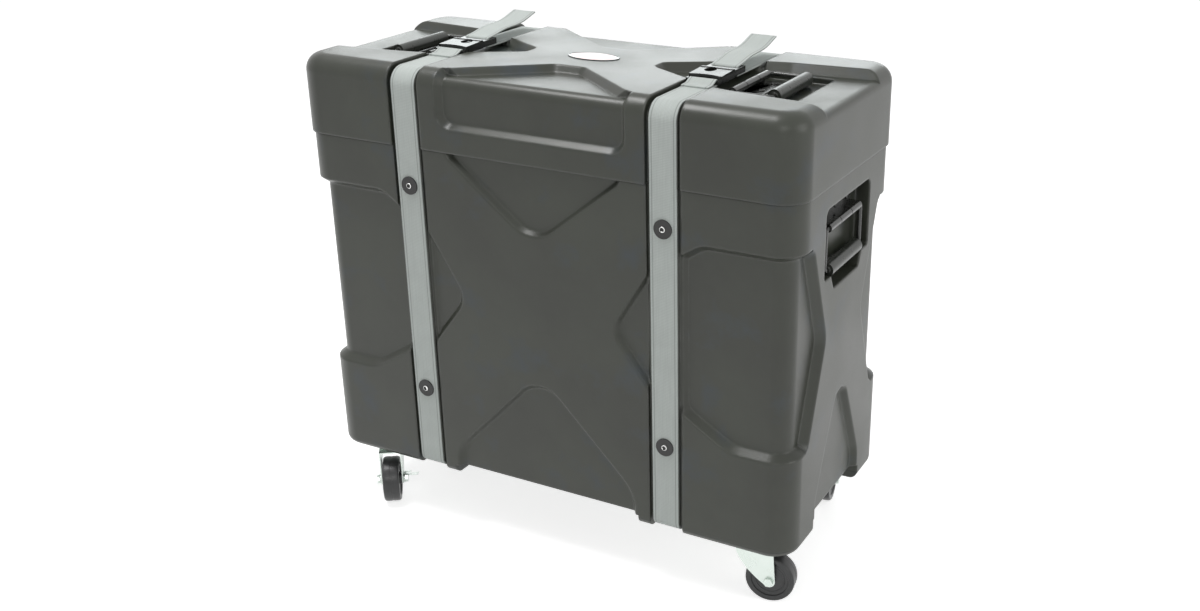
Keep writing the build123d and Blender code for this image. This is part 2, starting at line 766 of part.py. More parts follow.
def caster_plate(name):
    top = foot_bottom
    x, y = king_place(name)
    plate = Pos(0, 0, top - caster_plate_thick) * extrude(
        RectangleRounded(plate_long, plate_wide, 8), caster_plate_thick)
    low = top - caster_plate_thick - race_height
    race = Pos(0, 0, low) * extrude(Circle(swivel_radius - 3), race_height)
    race = fillet(race.edges().group_by(Axis.Z)[0], 1.5)
    pin_low = low - race_gap - fork_thick - 5
    pin = Pos(0, 0, pin_low) * extrude(Circle(6), low - pin_low)
    head = Pos(0, 0, pin_low - 2.5) * extrude(Circle(9), 2.5)
    piece = plate + race + pin + head
    for dx in (bolt_dx, -bolt_dx):
        for dy in (bolt_dy, -bolt_dy):
            piece -= Pos(dx, dy, top) * Cylinder(bolt_radius + 0.05, 20)
    return Pos(x, y, 0) * piece


def caster_fork(name):
    top = foot_bottom - caster_plate_thick - race_height - race_gap
    crown = Pos(0, 0, top - fork_thick) * extrude(Circle(swivel_radius), fork_thick)
    outer = fork_inner + fork_thick
    crown += slab(-fork_front, fork_rear, -outer, outer, top - fork_thick, top)
    crown -= Pos(0, 0, top) * Cylinder(6 + 0.1, 20)
    outline = outline_of([(-fork_front, top), (fork_rear, top), (trail + fork_eye, wheel_radius),
                          (trail - 7, wheel_radius - 8), *fork_edge])
    outline += Pos(trail, wheel_radius) * Circle(fork_eye)
    outline -= Pos(trail, wheel_radius) * Circle(axle_radius + axle_clear)
    for way in (1, -1):
        start = way * fork_inner
        plane = Plane(origin=(0, start, 0), x_dir=(1, 0, 0), z_dir=(0, -1, 0))
        crown += plane * extrude(outline, -way * fork_thick)
    return caster_frame(name) * crown


def caster_wheel(name):
    wheel = Cylinder(wheel_radius, wheel_width)
    wheel = fillet(wheel.edges(), 6)
    for way in (1, -1):
        dish = Cylinder(wheel_radius - 12, 5) - Cylinder(14, 5)
        wheel -= Pos(0, 0, way * wheel_width / 2) * dish
    wheel += Cylinder(11, 2 * fork_inner - 1.0)
    wheel -= Cylinder(axle_radius + axle_clear, 100)
    return caster_frame(name) * Pos(trail, 0, wheel_radius) * Rot(90, 0, 0) * wheel


def caster_axle(name):
    """Axle bolt with its head and lock nut."""
    outer = fork_inner + fork_thick + (pedal_thick + 0.8 if name in braked else 0)
    rod = Cylinder(axle_radius, 2 * outer + 3)
    head = Pos(0, 0, outer) * extrude(RegularPolygon(8.5, 6), 5)
    nut = Pos(0, 0, -outer - 6) * extrude(RegularPolygon(8.5, 6), 6)
    return caster_frame(name) * Pos(trail, 0, wheel_radius) * Rot(90, 0, 0) * (rod + head + nut)


def caster_pedal(name):
    """Foot brake: an arm outside each fork leg, a shoe across the tyre and two tabs to step on."""
    inner = fork_inner + fork_thick + 0.4
    outer = inner + pedal_thick
    shoe_in = wheel_radius + 1.5
    piece = slab(-pedal_reach, -shoe_in, -outer, outer, 2, 2 + pedal_thick)
    for way in (1, -1):
        low, high = sorted((way * inner, way * outer))
        piece += slab(-pedal_reach, 0, low, high, -4, 2 + pedal_thick)
        piece += Pos(0, way * (inner + outer) / 2, 0) * Rot(90, 0, 0) * Cylinder(9, pedal_thick)
    tabs = slab(8 - pedal_reach, -12, inner, outer + pedal_tab, 2, 2 + pedal_thick)
    tabs += slab(-30, -14, inner, outer, 2, spur_low + pedal_thick)
    tabs += slab(-30, -14, inner, outer + spur_reach, spur_low, spur_low + pedal_thick)
    piece += tabs.mirror(Plane.XZ) if "rear" in name else tabs
    piece -= Rot(90, 0, 0) * Cylinder(axle_radius + axle_clear, 200)
    return caster_frame(name) * Pos(trail, 0, wheel_radius) * Rot(0, -pedal_slope, 0) * piece


def caster_bolts():
    """Bolts through the plates and the floor of the body, with nuts inside."""
    pieces = []
    low = foot_bottom - caster_plate_thick
    high = foot_bottom + wall
    for name in headings:
        x, y = king_place(name)
        for dx in (bolt_dx, -bolt_dx):
            for dy in (bolt_dy, -bolt_dy):
                shank = Pos(0, 0, low) * extrude(Circle(bolt_radius), high + 8 - low)
                head = Pos(0, 0, low - 3) * extrude(Circle(6.5), 3)
                head = fillet(head.edges().group_by(Axis.Z)[0], 1.5)
                nut = Pos(0, 0, high) * extrude(RegularPolygon(6.5, 6), 6)
                pieces.append(Pos(x + dx, y + dy, 0) * (shank + head + nut))
    return pieces


def nodes():
    """Every piece by its node's name."""
    sides = {"right": 1, "left": -1}
    made = {"base_shell": base_shell(), "lid_shell": lid_shell(), "lid_badge": badge(),
            "strap_rivets": strap_rivets(), "strap_washers": strap_washers(),
            "end_handle_rivets": handle_rivets("end"), "lid_handle_rivets": handle_rivets("lid"),
            "caster_bolts": caster_bolts()}
    for word, side in sides.items():
        made[word + "_strap_lower"] = strap_lower(side)
        made[word + "_strap_front_riser"] = strap_riser(side, "front")
        made[word + "_strap_rear_riser"] = strap_riser(side, "rear")
        made[word + "_strap_front_top"] = strap_front_top(side)
        made[word + "_strap_rear_top"] = strap_rear_top(side)
        made[word + "_strap_tail"] = strap_tail(side)
        made[word + "_buckle_socket"] = buckle_socket(side)
        made[word + "_buckle_plug"] = buckle_plug(side)
        made[word + "_buckle_prong_outer"] = buckle_prong(side, side)
        made[word + "_buckle_prong_inner"] = buckle_prong(side, -side)
        for place in ("lid", "end"):
            made[word + "_" + place + "_handle_plate"] = handle_plate(place, side)
            made[word + "_" + place + "_handle_bail"] = handle_bail(place, side)
            made[word + "_" + place + "_handle_grip"] = handle_grip(place, side)
    for name in headings:
        made[name + "_caster_plate"] = caster_plate(name)
        made[name + "_caster_fork"] = caster_fork(name)
        made[name + "_caster_wheel"] = caster_wheel(name)
        made[name + "_caster_axle"] = caster_axle(name)
    for name in braked:
        made[name + "_caster_pedal"] = caster_pedal(name)
    return made


os.makedirs("parts", exist_ok=True)
for name, piece in nodes().items():
    solids = ShapeList()
    for item in piece if isinstance(piece, list) else [piece]:
        solids += item.solids()
    whole = solids[0] if len(solids) == 1 else Compound(children=list(solids))
    export_step(whole, "parts/" + name + ".step")
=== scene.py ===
import bpy
import bmesh
import json
import math
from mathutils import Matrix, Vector

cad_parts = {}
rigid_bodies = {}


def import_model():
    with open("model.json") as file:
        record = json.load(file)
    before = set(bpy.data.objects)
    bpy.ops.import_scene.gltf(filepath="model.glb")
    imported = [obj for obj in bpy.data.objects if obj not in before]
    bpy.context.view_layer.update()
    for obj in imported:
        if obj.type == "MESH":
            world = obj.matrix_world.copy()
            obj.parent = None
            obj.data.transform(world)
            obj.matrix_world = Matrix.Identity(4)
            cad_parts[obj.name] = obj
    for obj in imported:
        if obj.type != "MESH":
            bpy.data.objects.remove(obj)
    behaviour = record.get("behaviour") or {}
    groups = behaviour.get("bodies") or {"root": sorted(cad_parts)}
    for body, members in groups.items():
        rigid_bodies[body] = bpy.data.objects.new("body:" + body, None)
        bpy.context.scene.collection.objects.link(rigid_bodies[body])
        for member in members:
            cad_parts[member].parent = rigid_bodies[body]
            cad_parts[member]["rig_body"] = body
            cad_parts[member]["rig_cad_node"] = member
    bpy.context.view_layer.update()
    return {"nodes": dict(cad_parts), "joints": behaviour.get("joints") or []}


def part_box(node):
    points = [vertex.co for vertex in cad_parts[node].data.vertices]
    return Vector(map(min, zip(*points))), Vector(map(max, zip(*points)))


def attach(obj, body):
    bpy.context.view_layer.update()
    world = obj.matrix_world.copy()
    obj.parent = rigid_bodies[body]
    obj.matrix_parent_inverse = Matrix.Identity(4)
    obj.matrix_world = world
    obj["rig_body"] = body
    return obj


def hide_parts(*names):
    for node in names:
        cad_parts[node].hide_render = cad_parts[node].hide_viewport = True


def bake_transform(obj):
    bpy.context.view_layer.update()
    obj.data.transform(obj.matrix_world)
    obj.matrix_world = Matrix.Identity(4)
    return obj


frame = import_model()
nodes = frame["nodes"]
sides = {"right": 1, "left": -1}
corners = ("front_right", "front_left", "rear_right", "rear_left")
braked = ("front_left", "rear_left")
near = 0.0001  # how close a point has to be to a face to count as on it
print("frame loaded")


def deselectAll():
    if bpy.context.object and bpy.context.object.mode != "OBJECT":
        bpy.ops.object.mode_set(mode="OBJECT")
    bpy.ops.object.select_all(action="DESELECT")


def pick(obj):
    deselectAll()
    obj.select_set(True)
    bpy.context.view_layer.objects.active = obj


def useModifier(obj, kind, **settings):  # adds a modifier and applies it at once
    pick(obj)
    modifier = obj.modifiers.new(kind, kind)
    for key, value in settings.items():
        setattr(modifier, key, value)
    bpy.ops.object.modifier_apply(modifier=modifier.name)


def selectPlace(obj, test, kind="verts"):  # in edit mode, selects what passes the test on its middle
    mesh = bmesh.from_edit_mesh(obj.data)
    bpy.ops.mesh.select_all(action="DESELECT")
    for item in getattr(mesh, kind):
        spot = item.co if kind == "verts" else sum((v.co for v in item.verts), Vector()) / len(item.verts)
        if test(spot):
            item.select_set(True)
    mesh.select_flush_mode()
    bmesh.update_edit_mesh(obj.data)


def settle(obj, body, finish, angle=40):  # last steps for every piece
    pick(obj)
    bpy.ops.object.transform_apply(location=True, rotation=True, scale=True)
    bpy.ops.object.shade_smooth_by_angle(angle=math.radians(angle))
    obj.data.materials.clear()
    obj.data.materials.append(finish)
    useModifier(obj, "WEIGHTED_NORMAL", keep_sharp=True, weight=60)
    if body:
        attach(obj, body)


# shared effects

def newGroup(name, inputs, outputs):
    tree = bpy.data.node_groups.new(name, "ShaderNodeTree")
    for label, value in inputs.items():
        socket = tree.interface.new_socket(label, in_out="INPUT", socket_type="NodeSocketFloat")
        socket.default_value = value
    for label, kind in outputs.items():
        tree.interface.new_socket(label, in_out="OUTPUT", socket_type=kind)
    return tree, tree.nodes.new("NodeGroupInput"), tree.nodes.new("NodeGroupOutput")


def addMath(tree, operation, a, b=0.0, clamp=False):
    node = tree.nodes.new("ShaderNodeMath")
    node.operation = operation
    node.use_clamp = clamp
    for spot, value in enumerate((a, b)):
        if isinstance(value, (int, float)):
            node.inputs[spot].default_value = value
        else:
            tree.links.new(value, node.inputs[spot])
    return node.outputs[0]


def addNoise(tree, coords, scale, detail, rough):
    node = tree.nodes.new("ShaderNodeTexNoise")
    node.inputs["Detail"].default_value = detail
    node.inputs["Roughness"].default_value = rough
    tree.links.new(coords, node.inputs["Vector"])
    if isinstance(scale, (int, float)):
        node.inputs["Scale"].default_value = scale
    else:
        tree.links.new(scale, node.inputs["Scale"])
    return node.outputs["Fac"]


def addRange(tree, value, low, high, toLow=0.0, toHigh=1.0):
    node = tree.nodes.new("ShaderNodeMapRange")
    tree.links.new(value, node.inputs["Value"])
    for label, given in (("From Min", low), ("From Max", high), ("To Min", toLow), ("To Max", toHigh)):
        node.inputs[label].default_value = given
    return node.outputs["Result"]


grainLook = {"samples": 8, "detail": 4, "rough": 0.62}


def makeGrain():  # fine bumps over a normal that is softened at the edges
    tree, given, out = newGroup("mouldGrain", {"Size": 500.0, "Depth": 0.0002, "Strength": 0.5, "Soft": 0.0},
                                {"Normal": "NodeSocketVector"})
    coords = tree.nodes.new("ShaderNodeTexCoord").outputs["Object"]
    fine = addNoise(tree, coords, given.outputs["Size"], grainLook["detail"], grainLook["rough"])
    bump = tree.nodes.new("ShaderNodeBump")
    tree.links.new(fine, bump.inputs["Height"])
    tree.links.new(given.outputs["Depth"], bump.inputs["Distance"])
    tree.links.new(given.outputs["Strength"], bump.inputs["Strength"])
    softened = tree.nodes.new("ShaderNodeBevel")
    softened.samples = grainLook["samples"]
    tree.links.new(given.outputs["Soft"], softened.inputs["Radius"])
    tree.links.new(softened.outputs[0], bump.inputs["Normal"])
    tree.links.new(bump.outputs[0], out.inputs["Normal"])
    return tree


rubLook = {"samples": 6, "flat": 0.995, "edge": 0.86, "detail": 5, "rough": 0.6, "patchLow": 0.35,
           "patchHigh": 0.65}


def makeRub():  # white along edges that get knocked, broken up by noise
    tree, given, out = newGroup("edgeRub", {"Reach": 0.004, "Amount": 1.0, "Patch": 24.0},
                                {"Mask": "NodeSocketFloat"})
    coords = tree.nodes.new("ShaderNodeTexCoord").outputs["Object"]
    bevel = tree.nodes.new("ShaderNodeBevel")
    bevel.samples = rubLook["samples"]
    tree.links.new(given.outputs["Reach"], bevel.inputs["Radius"])
    facing = tree.nodes.new("ShaderNodeNewGeometry")
    dot = tree.nodes.new("ShaderNodeVectorMath")
    dot.operation = "DOT_PRODUCT"
    tree.links.new(bevel.outputs[0], dot.inputs[0])
    tree.links.new(facing.outputs["Normal"], dot.inputs[1])
    edge = addRange(tree, dot.outputs["Value"], rubLook["flat"], rubLook["edge"])
    patches = addNoise(tree, coords, given.outputs["Patch"], rubLook["detail"], rubLook["rough"])
    patches = addRange(tree, patches, rubLook["patchLow"], rubLook["patchHigh"])
    mask = addMath(tree, "MULTIPLY", edge, patches)
    mask = addMath(tree, "MULTIPLY", mask, given.outputs["Amount"], clamp=True)
    tree.links.new(mask, out.inputs["Mask"])
    return tree


cloudLook = {"detail": 5, "rough": 0.55}


def makeClouds():  # wide soft patches
    tree, given, out = newGroup("handledClouds", {"Size": 5.0, "Low": 0.35, "High": 0.65},
                                {"Mask": "NodeSocketFloat"})
    coords = tree.nodes.new("ShaderNodeTexCoord").outputs["Object"]
    wide = addNoise(tree, coords, given.outputs["Size"], cloudLook["detail"], cloudLook["rough"])
    spread = tree.nodes.new("ShaderNodeMapRange")
    tree.links.new(wide, spread.inputs["Value"])
    tree.links.new(given.outputs["Low"], spread.inputs["From Min"])
    tree.links.new(given.outputs["High"], spread.inputs["From Max"])
    tree.links.new(spread.outputs[0], out.inputs["Mask"])
    return tree


weaveLook = {"strapX": 0.245, "stitchAt": 0.0195, "stitchHalf": 0.0004, "stitchSoft": 0.0013,
             "streakAcross": 620.0, "streakAlong": 14.0, "streakDetail": 3, "streakRough": 0.6,
             "streakLow": 0.3, "streakHigh": 0.7}


def makeWeave():  # ribs across the webbing and rows along it, on the strap's own two directions
    tree, given, out = newGroup("strapWeave", {"Row": 0.0016, "Pick": 0.0019},
                                {"Height": "NodeSocketFloat", "Edge": "NodeSocketFloat",
                                 "Streak": "NodeSocketFloat"})
    coords = tree.nodes.new("ShaderNodeTexCoord").outputs["Object"]
    split = tree.nodes.new("ShaderNodeSeparateXYZ")
    tree.links.new(coords, split.inputs[0])
    depth = addMath(tree, "ABSOLUTE", split.outputs["Y"])
    along = addMath(tree, "SUBTRACT", split.outputs["Z"], depth)
    across = addMath(tree, "ABSOLUTE", split.outputs["X"])
    across = addMath(tree, "SUBTRACT", across, weaveLook["strapX"])
    rows = addMath(tree, "DIVIDE", across, given.outputs["Row"])
    picks = addMath(tree, "DIVIDE", along, given.outputs["Pick"])
    a = addMath(tree, "SINE", addMath(tree, "MULTIPLY", addMath(tree, "ADD", rows, picks), math.pi))
    b = addMath(tree, "SINE", addMath(tree, "MULTIPLY", addMath(tree, "SUBTRACT", rows, picks), math.pi))
    weave = addMath(tree, "MULTIPLY", a, b)
    weave = addRange(tree, weave, -1.0, 1.0)
    offset = addMath(tree, "ABSOLUTE", across)
    edge = addMath(tree, "SUBTRACT", offset, weaveLook["stitchAt"])
    edge = addMath(tree, "ABSOLUTE", edge)
    edge = addRange(tree, edge, weaveLook["stitchHalf"], weaveLook["stitchSoft"], 1.0, 0.0)
    stretched = tree.nodes.new("ShaderNodeCombineXYZ")
    wide = addMath(tree, "MULTIPLY", across, weaveLook["streakAcross"])
    long = addMath(tree, "MULTIPLY", along, weaveLook["streakAlong"])
    tree.links.new(wide, stretched.inputs["X"])
    tree.links.new(long, stretched.inputs["Y"])
    streak = addNoise(tree, stretched.outputs[0], 1.0, weaveLook["streakDetail"], weaveLook["streakRough"])
    streak = addRange(tree, streak, weaveLook["streakLow"], weaveLook["streakHigh"])
    tree.links.new(streak, out.inputs["Streak"])
    tree.links.new(weave, out.inputs["Height"])
    tree.links.new(edge, out.inputs["Edge"])
    return tree


grainGroup = makeGrain()
rubGroup = makeRub()
cloudGroup = makeClouds()
weaveGroup = makeWeave()
print("shared effects made")


def newFinish(name, base, rough, metallic=0.0, specular=0.5, coat=0.0):
    finish = bpy.data.materials.new(name)
    finish.use_nodes = True
    shader = finish.node_tree.nodes["Principled BSDF"]
    shader.inputs["Base Color"].default_value = (*base, 1)
    shader.inputs["Roughness"].default_value = rough
    shader.inputs["Metallic"].default_value = metallic
    shader.inputs["Specular IOR Level"].default_value = specular
    shader.inputs["Coat Weight"].default_value = coat
    return finish, finish.node_tree, shader


def placeGroup(tree, group, **values):
    node = tree.nodes.new("ShaderNodeGroup")
    node.node_tree = group
    for label, value in values.items():
        node.inputs[label].default_value = value
    return node


def mixColour(tree, mask, first, second):
    node = tree.nodes.new("ShaderNodeMix")
    node.data_type = "RGBA"
    tree.links.new(mask, node.inputs["Factor"])
    for spot, value in ((6, first), (7, second)):
        if isinstance(value, tuple):
            node.inputs[spot].default_value = (*value, 1)
        else:
            tree.links.new(value, node.inputs[spot])
    return node.outputs[2]


mouldedLook = {
    "dark": (0.034, 0.037, 0.028),
    "light": (0.047, 0.052, 0.040),
    "bluish": (0.038, 0.048, 0.052),
    "rubbed": (0.13, 0.135, 0.125),
    "seam": (0.008, 0.009, 0.008),
    "cloudSize": 5.0,
    "cloudLow": 0.38,
    "cloudHigh": 0.64,
    "stainSize": 11.0,
    "stainLow": 0.56,
    "stainHigh": 0.72,
    "grainSize": 560.0,
    "grainDepth": 0.0003,
    "grainStrength": 0.5,
    "softEdge": 0.006,
    "rubReach": 0.005,
    "rubAmount": 0.5,
    "seamAt": 0.1235,
    "seamHalf": 0.0005,
    "seamSoft": 0.0012,
    "seamDark": 0.65,
    "roughLow": 0.29,
    "roughHigh": 0.38,
}


def makeMoulded():
    look = mouldedLook
    finish, tree, shader = newFinish("mouldedPlastic", look["dark"], look["roughHigh"])
    clouds = placeGroup(tree, cloudGroup, Size=look["cloudSize"], Low=look["cloudLow"],
                        High=look["cloudHigh"]).outputs[0]
    stains = placeGroup(tree, cloudGroup, Size=look["stainSize"], Low=look["stainLow"],
                        High=look["stainHigh"]).outputs[0]
    grain = placeGroup(tree, grainGroup, Size=look["grainSize"], Depth=look["grainDepth"],
                       Strength=look["grainStrength"], Soft=look["softEdge"])
    rub = placeGroup(tree, rubGroup, Reach=look["rubReach"], Amount=look["rubAmount"]).outputs[0]
    colour = mixColour(tree, clouds, look["dark"], look["light"])
    colour = mixColour(tree, stains, colour, look["bluish"])
    colour = mixColour(tree, rub, colour, look["rubbed"])
    split = tree.nodes.new("ShaderNodeSeparateXYZ")
    tree.links.new(tree.nodes.new("ShaderNodeTexCoord").outputs["Object"], split.inputs[0])
    seam = addMath(tree, "ABSOLUTE", addMath(tree, "SUBTRACT", split.outputs["Z"], look["seamAt"]))
    seam = addRange(tree, seam, look["seamHalf"], look["seamSoft"], look["seamDark"], 0.0)
    colour = mixColour(tree, seam, colour, look["seam"])
    tree.links.new(colour, shader.inputs["Base Color"])
    rough = addRange(tree, clouds, 0, 1, look["roughLow"], look["roughHigh"])
    tree.links.new(rough, shader.inputs["Roughness"])
    tree.links.new(grain.outputs["Normal"], shader.inputs["Normal"])
    return finish


webbingLook = {
    "light": (0.76, 0.815, 0.785),
    # shade: painted shade for the weave's hollows, and also the colour that soil and streaks darken towards
    "shade": (0.50, 0.54, 0.52),
    "stitch": (0.27, 0.285, 0.28),
    "row": 0.0022,
    "pick": 0.0026,
    "depth": 0.0004,
    "relief": 0.6,
    "rough": 0.8,
    "specular": 0.25,
    "sheen": 0.25,
    "sheenRough": 0.4,
    "soilSize": 30.0,
    "soilLow": 0.3,
    "soilHigh": 0.7,
    "soil": 0.35,
    "streaks": 0.55,
    "stitches": 0.6,
}


def makeWebbing():
    look = webbingLook
    finish, tree, shader = newFinish("webbing", look["light"], look["rough"], specular=look["specular"])
    shader.inputs["Sheen Weight"].default_value = look["sheen"]
    shader.inputs["Sheen Roughness"].default_value = look["sheenRough"]
    weave = placeGroup(tree, weaveGroup, Row=look["row"], Pick=look["pick"])
    clouds = placeGroup(tree, cloudGroup, Size=look["soilSize"], Low=look["soilLow"],
                        High=look["soilHigh"]).outputs[0]
    # the weave's hollows get the darker colour: painted shade between the ribs
    colour = mixColour(tree, weave.outputs["Height"], look["shade"], look["light"])
    soil = addMath(tree, "MULTIPLY", clouds, look["soil"])
    colour = mixColour(tree, soil, colour, look["shade"])
    lines = addMath(tree, "MULTIPLY", weave.outputs["Streak"], look["streaks"])
    colour = mixColour(tree, lines, colour, look["shade"])
    edge = addMath(tree, "MULTIPLY", weave.outputs["Edge"], look["stitches"])
    colour = mixColour(tree, edge, colour, look["stitch"])
    tree.links.new(colour, shader.inputs["Base Color"])
    height = addMath(tree, "SUBTRACT", weave.outputs["Height"], weave.outputs["Edge"])
    bump = tree.nodes.new("ShaderNodeBump")
    bump.inputs["Distance"].default_value = look["depth"]
    bump.inputs["Strength"].default_value = look["relief"]
    tree.links.new(height, bump.inputs["Height"])
    tree.links.new(bump.outputs[0], shader.inputs["Normal"])
    return finish


plainLook = {
    "patch": 40.0,
    "patchLow": 0.35,
    "patchHigh": 0.7,
    "wear": 0.25,
    "grainSize": 900.0,
    "grainDepth": 0.00001,
    "grainStrength": 0.4,
    "rubReach": 0.0006,
    "rubAmount": 0.10,
    "rubPatch": 80.0,
}


def makePlain(name, base, worn, rough, spread, metallic=0.0, coat=0.0):  # small parts, worn in patches
    look = plainLook
    finish, tree, shader = newFinish(name, base, rough, metallic, coat=coat)
    clouds = placeGroup(tree, cloudGroup, Size=look["patch"], Low=look["patchLow"],
                        High=look["patchHigh"]).outputs[0]
    bumps = placeGroup(tree, grainGroup, Size=look["grainSize"], Depth=look["grainDepth"],
                       Strength=look["grainStrength"])
    rub = placeGroup(tree, rubGroup, Reach=look["rubReach"], Amount=look["rubAmount"],
                     Patch=look["rubPatch"]).outputs[0]
    faint = addMath(tree, "MULTIPLY", clouds, look["wear"])
    colour = mixColour(tree, faint, base, worn)
    colour = mixColour(tree, rub, colour, worn)
    tree.links.new(colour, shader.inputs["Base Color"])
    tree.links.new(addRange(tree, clouds, 0, 1, rough - spread, rough + spread), shader.inputs["Roughness"])
    tree.links.new(bumps.outputs["Normal"], shader.inputs["Normal"])
    return finish


enamelLook = {
    "long": 0.0487,
    "wide": 0.0272,
    "pale": (0.52, 0.50, 0.49),
    "cloudy": (0.42, 0.41, 0.40),
    "red": (0.42, 0.07, 0.06),
    "ringLow": 0.80,
    "ringHigh": 0.86,
    "ringSoft": 0.03,
    "cloudSize": 60.0,
    "rough": 0.3,
    "coat": 0.5,
}


def makeEnamel():  # pale oval with a thin red line inside its rim
    look = enamelLook
    finish, tree, shader = newFinish("badgeEnamel", look["pale"], look["rough"], coat=look["coat"])
    split = tree.nodes.new("ShaderNodeSeparateXYZ")
    tree.links.new(tree.nodes.new("ShaderNodeTexCoord").outputs["Object"], split.inputs[0])
    across = addMath(tree, "POWER", addMath(tree, "DIVIDE", split.outputs["X"], look["long"]), 2.0)
    along = addMath(tree, "POWER", addMath(tree, "DIVIDE", split.outputs["Y"], look["wide"]), 2.0)
    reach = addMath(tree, "SQRT", addMath(tree, "ADD", across, along))
    inner = addRange(tree, reach, look["ringLow"] - look["ringSoft"], look["ringLow"])
    outer = addRange(tree, reach, look["ringHigh"], look["ringHigh"] + look["ringSoft"], 1.0, 0.0)
    clouds = placeGroup(tree, cloudGroup, Size=look["cloudSize"]).outputs[0]
    colour = mixColour(tree, clouds, look["pale"], look["cloudy"])
    colour = mixColour(tree, addMath(tree, "MULTIPLY", inner, outer), colour, look["red"])
    tree.links.new(colour, shader.inputs["Base Color"])
    return finish


moulded = makeMoulded()
webbing = makeWebbing()
bucklePlastic = makePlain("bucklePlastic", (0.014, 0.015, 0.014), (0.05, 0.052, 0.05), 0.20, 0.04)
handleSteel = makePlain("handleSteel", (0.016, 0.017, 0.015), (0.08, 0.082, 0.078), 0.24, 0.05, coat=0.3)
gripPlastic = makePlain("gripPlastic", (0.040, 0.044, 0.038), (0.09, 0.095, 0.085), 0.30, 0.04)
# black for the rubber washers, and also painted shade inside the pressed rivet hollows
blackWasherAndHollowShade = makePlain("blackWasherAndHollowShade", (0.02, 0.02, 0.02), (0.08, 0.08, 0.08), 0.5, 0.1)
rivetSteel = makePlain("rivetSteel", (0.75, 0.75, 0.74), (0.9, 0.9, 0.9), 0.3, 0.08, metallic=1.0)
zincSteel = makePlain("zincSteel", (0.60, 0.66, 0.62), (0.80, 0.84, 0.81), 0.32, 0.08, metallic=1.0)
wheelBlack = makePlain("wheelBlack", (0.030, 0.031, 0.032), (0.10, 0.10, 0.10), 0.36, 0.08)
badgeEnamel = makeEnamel()
print("finishes made")


# camera and stage

cameraPlace = {
    "location": (1.1814, -1.9432, 1.3613),
    "azimuth": 26.81,
    "elevation": 22.05,
    "roll": -0.075,
    "lens": 40.3,
    "shift": (-0.0822, -0.0163),
    "clipEnd": 60,
}
bpy.ops.object.camera_add(location=cameraPlace["location"])
camera = bpy.context.object
camera.rotation_euler = (math.radians(90 - cameraPlace["elevation"]), math.radians(cameraPlace["roll"]),
                         math.radians(cameraPlace["azimuth"]))
camera.data.lens = cameraPlace["lens"]
camera.data.shift_x, camera.data.shift_y = cameraPlace["shift"]
camera.data.clip_end = cameraPlace["clipEnd"]
bpy.context.scene.camera = camera
bpy.context.scene.view_settings.view_transform = "Standard"

stageSettings = {
    "floorSize": 40.0,
    "floorColour": (0.86, 0.86, 0.86),
    "floorRough": 0.9,
    "floorSpecular": 0.1,
    "floorGlow": 0.72,
    "worldLight": 0.33,
    "lampAim": (0, 0, 0.5),
}
deselectAll()
bpy.ops.mesh.primitive_plane_add(size=stageSettings["floorSize"], location=(0, 0, 0))
floor = bpy.context.object
floor.name = "studioFloor"
floorFinish, floorTree, floorShader = newFinish("floorPaint", stageSettings["floorColour"],
                                                stageSettings["floorRough"],
                                                specular=stageSettings["floorSpecular"])
rays = floorTree.nodes.new("ShaderNodeLightPath")
seen = addMath(floorTree, "MAXIMUM", rays.outputs["Is Camera Ray"], rays.outputs["Is Glossy Ray"])
glow = addMath(floorTree, "MULTIPLY", seen, stageSettings["floorGlow"])
floorShader.inputs["Emission Color"].default_value = (1, 1, 1, 1)
floorTree.links.new(glow, floorShader.inputs["Emission Strength"])
floor.data.materials.append(floorFinish)

world = bpy.data.worlds.new("studioWorld")
bpy.context.scene.world = world
world.use_nodes = True
sky = world.node_tree
back = sky.nodes["Background"]
back.inputs["Color"].default_value = (1, 1, 1, 1)
rays = sky.nodes.new("ShaderNodeLightPath")
seen = addMath(sky, "MAXIMUM", rays.outputs["Is Camera Ray"], rays.outputs["Is Transmission Ray"])
seen = addMath(sky, "MAXIMUM", seen, rays.outputs["Is Glossy Ray"])
lift = addMath(sky, "MULTIPLY", seen, 1 - stageSettings["worldLight"])
sky.links.new(addMath(sky, "ADD", lift, stageSettings["worldLight"]), back.inputs["Strength"])

lamps = {
    "topLamp": {"at": (-0.9, -0.5, 3.1), "size": (1.3, 0.7), "power": 38.0, "colour": (1.0, 1.0, 1.0)},
    "rightLamp": {"at": (3.4, -0.2, 1.7), "size": (1.6, 1.8), "power": 21.0, "colour": (1.0, 1.0, 0.98)},
    "frontLamp": {"at": (1.5, -3.4, 2.4), "size": (1.2, 1.2), "power": 15.0, "colour": (1.0, 1.0, 0.97)},
    "backLamp": {"at": (-1.4, 3.3, 1.75), "size": (3.4, 1.0), "power": 26.0, "colour": (0.93, 1.0, 1.0)},
}
for name, lamp in lamps.items():
    bpy.ops.object.light_add(type="AREA", location=lamp["at"])
    light = bpy.context.object
    light.name = name
    light.data.shape = "RECTANGLE"
    light.data.size, light.data.size_y = lamp["size"]
    light.data.energy = lamp["power"]
    light.data.color = lamp["colour"]
    aim = Vector(stageSettings["lampAim"]) - Vector(lamp["at"])
    light.rotation_euler = aim.to_track_quat("-Z", "Y").to_euler()
print("camera, floor and lamps placed")


# pieces whose CAD form is right: the same form, merged and shaded smooth

carriedLook = {"merge": 0.00001, "flat": 1, "edgeFrom": 40}  # a length, then two angles in degrees


